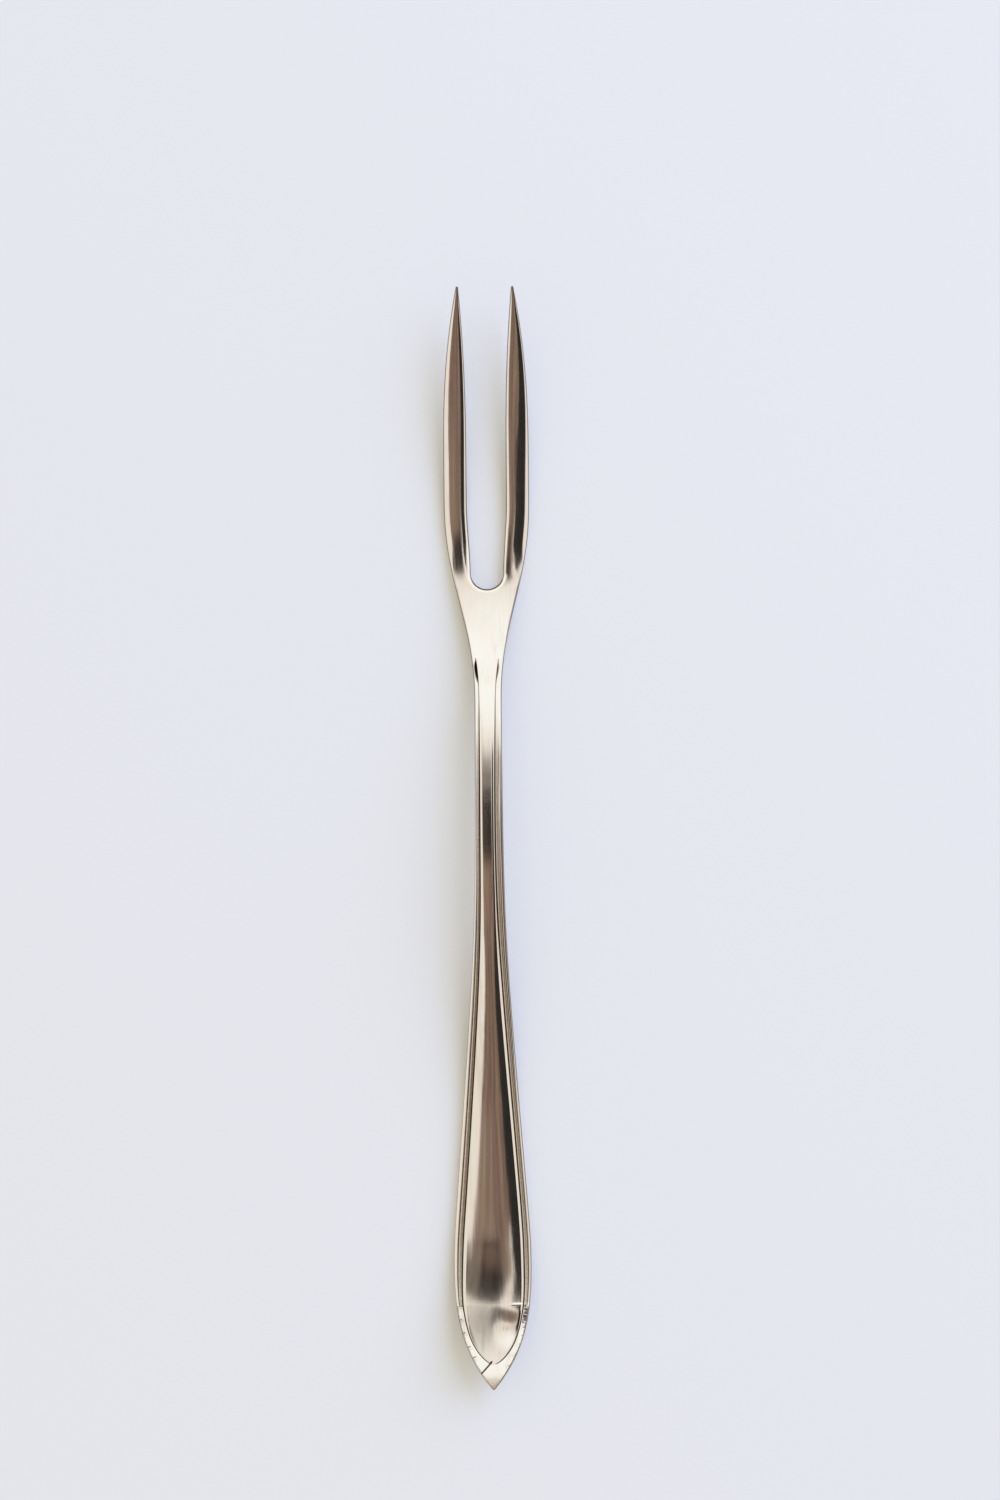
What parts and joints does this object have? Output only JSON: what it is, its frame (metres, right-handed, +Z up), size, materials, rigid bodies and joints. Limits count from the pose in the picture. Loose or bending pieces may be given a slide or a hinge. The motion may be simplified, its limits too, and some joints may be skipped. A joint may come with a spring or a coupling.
{
  "type": "pickle fork",
  "caption": "Long, slim silver-plated pickle fork with crowned tines, a threaded tapering handle and a pointed, notched end, for lifting food out of a jar.",
  "frame": {"origin": "on the table under the middle of the fork's bounding box", "axes": "+Y from the handle's point towards the tines, +Z up from the table out of the fork's face, +X to the right seen from above with the tines at the top"},
  "size_m": [0.0156, 0.2, 0.0082],
  "materials": {
    "silver_plate": "polished"
  },
  "bodies": {
    "root": {"handle_tip": "silver_plate", "handle": "silver_plate", "neck": "silver_plate", "shoulder": "silver_plate", "left_tine": "silver_plate", "right_tine": "silver_plate"}
  },
  "joints": []
}
